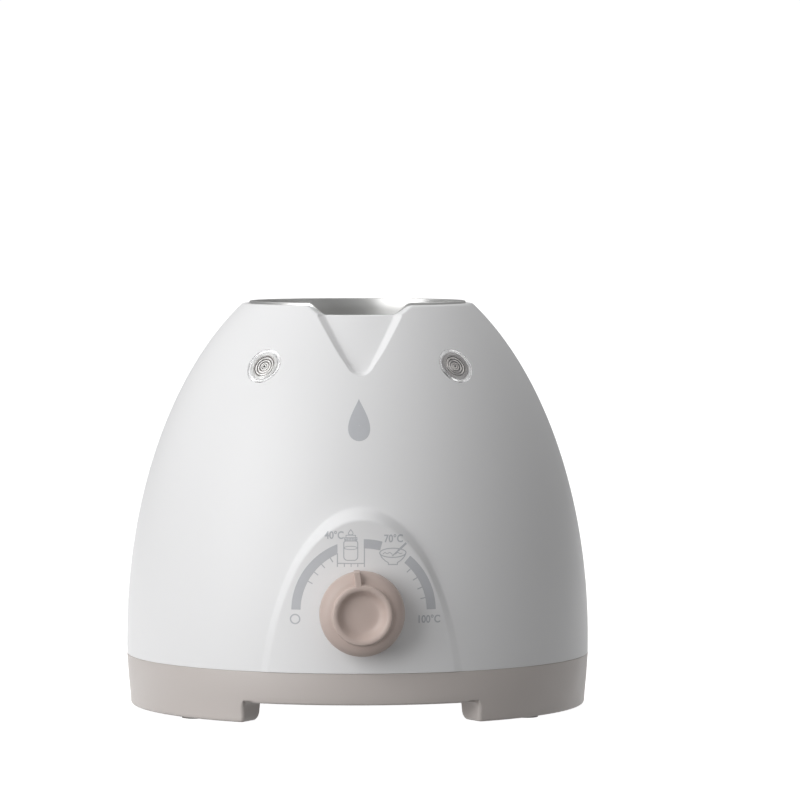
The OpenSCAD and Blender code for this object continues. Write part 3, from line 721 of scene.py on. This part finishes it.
def oval(cx, cz, rx, rz, start=0, end=360, n=32):
    return [(cx + rx * math.cos(math.radians(t)), cz + rz * math.sin(math.radians(t)))
            for t in np.linspace(start, end, n + 1)]


PX, PZ, R0, R1 = 0.6, 36.9, 19.95, 22.85     # centre and radii of the printed scale


def bar(start, end):
    """Arc band of the scale between two clockwise angles from the top, each a function of the radius."""
    grid = []
    for r in np.linspace(R0, R1, 4):
        ang = np.radians(np.linspace(start(r), end(r), 40))
        grid.append(np.stack([PX + r * np.sin(ang), PZ + r * np.cos(ang)], -1))
    add_slab(np.array(grid))


def level_end(r):
    return 90 - math.degrees(math.asin(0.4 / r))


bar(lambda r: -level_end(r), lambda r: -math.degrees(math.asin(8.3 / r)))
bar(lambda r: 0, lambda r: 15)
bar(lambda r: 40, level_end)
for deg in (-61.7, -51.6, -41.8, -32, 48, 58, 68, 78):
    s, c = math.sin(math.radians(deg)), math.cos(math.radians(deg))
    stroke(path((PX + R0 * s, PZ + R0 * c), (PX + (R0 - 1.6) * s, PZ + (R0 - 1.6) * c)), 0.34)
# bottle in its bracket
stroke(path((-7.7, 55.3), (-7.7, 51.0)), 0.34)
stroke(path((0.8, 57.2), (0.8, 51.0)), 0.34)
stroke(path((-7.53, 52.1), (0.63, 52.1)), 0.34)
for x in (-5.5, -3.4, -1.3):
    stroke(path((x, 51.93), (x, 51.0)), 0.32)
BX = -3.5
body = (oval(BX - 1.0, 54.25, 1.2, 1.2, 180, 270, 8) + oval(BX + 1.0, 54.25, 1.2, 1.2, 270, 360, 8)
        + oval(BX + 1.45, 58.5, 0.75, 0.7, 0, 90, 6) + oval(BX - 1.45, 58.5, 0.75, 0.7, 90, 180, 6))
stroke(body, 0.3, True)
stroke(oval(BX, 57.0, 2.1, 0.5, 0, 348, 30), 0.24, True)
stroke(oval(BX, 59.55, 2.0, 0.3, 0, 348, 24), 0.24, True)
stroke([(BX - 1.95, 59.7), (BX - 1.95, 60.25), (BX + 1.95, 60.25), (BX + 1.95, 59.7)], 0.24)
for k in range(7):
    stroke([(BX - 1.5 + 0.5 * k, 59.35), (BX - 1.5 + 0.5 * k, 60.15)], 0.2)
stroke([(BX - 1.5, 60.35), (BX - 1.5, 61.0), (BX + 1.5, 61.0), (BX + 1.5, 60.35)], 0.24)
stroke([(BX, 62.8), (BX - 0.45, 62.2), (BX - 0.75, 61.65), (BX - 0.6, 61.25), (BX, 61.12), (BX + 0.6, 61.25),
        (BX + 0.75, 61.65), (BX + 0.45, 62.2)], 0.24, True)
# bowl and spoon
stroke(oval(9.8, 55.4, 4.15, 1.45, 0, 352, 44), 0.3, True)
side_line = spline([(5.65, 55.3), (6.3, 54.0), (7.4, 52.9), (8.3, 52.3), (8.35, 51.7)], 4)
stroke(side_line, 0.3)
stroke([(19.6 - x, z) for x, z in side_line], 0.3)
stroke(path((8.3, 51.7), (11.3, 51.7)), 0.3)
stroke(spline([(6.6, 55.0), (7.3, 55.5), (8.0, 55.1), (8.8, 55.5), (9.6, 54.9)], 4), 0.24)
stroke(spline([(10.6, 54.9), (11.3, 55.5), (12.1, 55.1), (12.8, 55.3)], 4), 0.24)
stroke(path((9.6, 54.4), (11.6, 56.2)), 0.36)
stroke(path((11.5, 56.1), (14.6, 58.95)), 0.66)
# off mark
stroke(oval(-21.05, 34.3, 1.45, 1.45, 0, 350, 32), 0.42, True)


DEPTH = 0.2          # half depth of the digits before they are laid on the panel
DIGIT_HIGH = 0.045
SQUEEZE = 0.86       # the digits are narrower than the typeface


def lettering(text, x, z, height):
    """Numbers of the scale, as closed thin solids laid on the panel."""
    curve = bpy.data.curves.new("digits", "FONT")
    curve.body = text
    curve.size = height / 0.73
    curve.extrude = DEPTH
    curve.offset = 0.022 * curve.size
    tmp = bpy.data.objects.new("digits", curve)
    bpy.context.scene.collection.objects.link(tmp)
    bpy.context.view_layer.update()
    mesh = bpy.data.meshes.new_from_object(tmp.evaluated_get(bpy.context.evaluated_depsgraph_get()))
    bm = bmesh.new()
    bm.from_mesh(mesh)
    bmesh.ops.remove_doubles(bm, verts=bm.verts, dist=1e-5)
    bmesh.ops.triangulate(bm, faces=bm.faces)
    for _ in range(2):
        long = [e for e in bm.edges if e.calc_length() > 0.5]
        bmesh.ops.subdivide_edges(bm, edges=long, cuts=1, use_grid_fill=True)
        bmesh.ops.triangulate(bm, faces=[f for f in bm.faces if len(f.verts) > 3])
    bm.verts.index_update()
    co = np.array([v.co for v in bm.verts])
    faces = [[v.index for v in f.verts] for f in bm.faces]
    bm.free()
    width = np.ptp(co[:, 0])
    px = x + (co[:, 0] - co[:, 0].min() - width / 2) * SQUEEZE
    pz = z + co[:, 1]
    low = on_shell(px, pz, INK_LOW)
    high = on_shell(px, pz, DIGIT_HIGH)
    v = low + (high - low) * (co[:, 2:3] / DEPTH + 1) / 2
    base = len(ink["verts"])
    ink["verts"] += v.tolist()
    ink["faces"] += [[base + i for i in f] for f in faces]
    bpy.data.objects.remove(tmp)
    bpy.data.curves.remove(curve)
    bpy.data.meshes.remove(mesh)


lettering("40°C", -8.75, 59.9, 2.45)
lettering("70°C", 10.05, 58.8, 2.45)
lettering("100°C", 21.4, 33.1, 2.45)
make("dial_print", ink["verts"], ink["faces"], "housing", print_mat, 40, "print_grey")

# milk drop on the front
ink = {"verts": [], "faces": []}
drop_rows = []
for s in np.linspace(0.02, 1, 12):
    t = np.linspace(0, TAU, 73)[:-1]
    x = 4.9 * np.sin(t) * np.sin(t / 2) ** 1.4
    z = 6.6 * np.cos(t)
    drop_rows.append(np.stack([s * x - 0.6, 94.9 + s * (z + 1.8)], -1))
add_slab(np.array(drop_rows), close=True)
make("milk_drop", ink["verts"], ink["faces"], "housing", print_mat, 40, "print_grey")

# ---------------------------------------------------------------- materials for the carried-over CAD nodes
steel = material("zinc_screw", (0.72, 0.72, 0.74), 0.35, 1.0, vary=0.05, vary_scale=300, grain=0.01)
rubber = material("foot_rubber", (0.30, 0.28, 0.265), 0.75, vary=0.1, vary_scale=120, grain=0.03,
                  grain_scale=2500)
silicone = material("grey_silicone", (0.45, 0.45, 0.45), 0.5, vary=0.04, vary_scale=80, grain=0.01)
cast = material("cast_aluminium", (0.66, 0.67, 0.68), 0.45, 1.0, vary=0.06, vary_scale=60, grain=0.05,
                grain_scale=600)
felt = material("felt", (0.80, 0.76, 0.66), 0.95, vary=0.10, vary_scale=200, grain=0.3, grain_scale=1500,
                Sheen_Weight=0.4)
ceramic = material("ceramic_white", (0.82, 0.81, 0.77), 0.35, vary=0.03, vary_scale=90, grain=0.01)
brass = material("brass_plain", (0.75, 0.60, 0.32), 0.33, 1.0, vary=0.05, vary_scale=200, grain=0.008)
nylon = material("inner_plastic", (0.76, 0.75, 0.71), 0.5, vary=0.03, vary_scale=60, grain=0.02)
glow = material("lamp_clear", (0.93, 0.90, 0.84), 0.12, vary=0.02, vary_scale=200, grain=0.003)
gland = material("gland_grey", (0.56, 0.53, 0.50), 0.5, vary=0.03, vary_scale=80, grain=0.015)


def wire_look(name, colour, vary):
    return material(name, colour, 0.4, vary=vary, vary_scale=150, grain=0.01)


red = wire_look("wire_red", (0.55, 0.05, 0.04), 0.05)
white = wire_look("wire_white", (0.82, 0.82, 0.80), 0.03)
black = wire_look("wire_black", (0.03, 0.03, 0.03), 0.1)
blue = wire_look("wire_blue", (0.07, 0.14, 0.42), 0.05)
looks = {
    "rubber_feet": rubber, "housing_screws": steel, "cup_seal": silicone, "cup_retaining_ring": nylon,
    "ring_screws": steel, "insulation_sleeve": felt, "ptc_heater": cast, "heater_clamp": steel,
    "heater_nut": steel, "thermal_fuse": ceramic, "fuse_clip": steel, "thermostat_body": ceramic,
    "thermostat_bracket": steel, "thermostat_nut": brass, "bracket_screws": steel, "thermostat_shaft": brass,
    "knob_clip": steel, "lamp_left": glow, "lamp_right": glow, "lamp_holder_left": nylon,
    "lamp_holder_right": nylon, "terminal_block": nylon, "terminal_screws": steel, "cord_gland": gland,
    "wire_heater_supply": red, "wire_heater_fuse": white, "wire_fuse_return": white,
    "wire_thermostat_in": red, "wire_thermostat_out": black, "wire_lamp_left": blue, "wire_lamp_right": blue,
}
for name, mat in looks.items():
    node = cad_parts[name]
    node.data.materials.clear()
    node.data.materials.append(mat)

# ---------------------------------------------------------------- floor, light and camera
def glowing(name, strength, albedo):
    """Pale studio surface that reads as white; it lights the object only through its gloss."""
    mat = material(name, (albedo,) * 3, 0.9, vary=0.01, vary_scale=1.5, grain=0)
    bsdf = mat.node_tree.nodes["Principled BSDF"]
    bsdf.inputs["Emission Color"].default_value = (1, 1, 1, 1)
    bsdf.inputs["Emission Strength"].default_value = strength
    bsdf.inputs["Specular IOR Level"].default_value = 0.0
    return mat


def stage_piece(name, verts, faces, mat):
    mesh = bpy.data.meshes.new(name)
    mesh.from_pydata(verts, [], faces)
    mesh.materials.append(mat)
    obj = bpy.data.objects.new(name, mesh)
    bpy.context.scene.collection.objects.link(obj)
    obj.visible_diffuse = False
    obj.visible_glossy = name == "floor"
    obj.visible_shadow = False


STAGE_R, SIDES = 30.0, 48      # metres
FLOOR_Z = -0.00003             # just under the pads, so that the two don't share a plane
around = [(math.cos(t), math.sin(t)) for t in np.arange(SIDES) * TAU / SIDES]
stage_piece("floor", [(STAGE_R * x, STAGE_R * y, FLOOR_Z) for x, y in around], [list(range(SIDES))],
            glowing("floor_white", 0.96, 0.6))
wall_rows = [(STAGE_R, -0.5), (STAGE_R, 12.0), (21.0, 21.0), (0.5, 26.0)]
stage_piece("backdrop", [(r * x, r * y, z) for r, z in wall_rows for x, y in around],
            grid_faces(len(wall_rows), SIDES), glowing("backdrop_white", 1.0, 0.1))

world = bpy.data.worlds.new("studio")
bpy.context.scene.world = world
world.use_nodes = True
wt = world.node_tree
sky_co = wt.nodes.new("ShaderNodeTexCoord")
sky_z = wt.nodes.new("ShaderNodeSeparateXYZ")
wt.links.new(sky_co.outputs["Generated"], sky_z.inputs["Vector"])


def sky_ramp(axis, low, high, at_low, at_high):
    """Strength along one axis of the sky, from at_low to at_high."""
    node = wt.nodes.new("ShaderNodeMapRange")
    node.inputs["From Min"].default_value, node.inputs["From Max"].default_value = low, high
    node.inputs["To Min"].default_value, node.inputs["To Max"].default_value = at_low, at_high
    wt.links.new(sky_z.outputs[axis], node.inputs["Value"])
    return node.outputs["Result"]


sky_mix = wt.nodes.new("ShaderNodeMath")
sky_mix.operation = "MULTIPLY"
wt.links.new(sky_ramp("Z", -0.3, 0.6, 0.12, 0.45), sky_mix.inputs[0])
wt.links.new(sky_ramp("X", -0.9, 0.9, 1.08, 0.92), sky_mix.inputs[1])
wt.links.new(sky_mix.outputs[0], wt.nodes["Background"].inputs["Strength"])
wt.nodes["Background"].inputs["Color"].default_value = (1, 1, 1, 1)


def softbox(name, azimuth, elevation, distance, size, power):
    """Area light that looks at the object from an azimuth (0 in front, negative to the left)."""
    a, e = math.radians(azimuth), math.radians(elevation)
    light = bpy.data.lights.new(name, "AREA")
    light.shape = "RECTANGLE"
    light.size, light.size_y = size
    light.energy = power
    obj = bpy.data.objects.new(name, light)
    way = Vector((math.sin(a) * math.cos(e), -math.cos(a) * math.cos(e), math.sin(e)))
    obj.location = way * distance + Vector((0, 0, 0.07))
    obj.rotation_euler = (-way).to_track_quat("-Z", "Y").to_euler()
    bpy.context.scene.collection.objects.link(obj)


softbox("key", -52, 18, 2.2, (2.0, 1.9), 38.5)
softbox("top", 0, 88, 2.0, (1.6, 1.6), 3.5)
softbox("back", 180, 52, 2.4, (2.2, 1.0), 9)

DISTANCE, EYE_Z, PITCH, PAN = 1.65, 0.1745, math.radians(90 - 2.576), math.radians(0.487)
camera = bpy.data.cameras.new("camera")
camera.sensor_width = 36
camera.lens = 225
camera.clip_start, camera.clip_end = 0.05, 50
cam = bpy.data.objects.new("camera", camera)
yaw = math.radians(1.0)
cam.location = (-DISTANCE * math.sin(yaw), -DISTANCE * math.cos(yaw), EYE_Z)
cam.rotation_euler = (PITCH, 0, -yaw - PAN)
bpy.context.scene.collection.objects.link(cam)
bpy.context.scene.camera = cam
bpy.context.scene.view_settings.view_transform = "Standard"
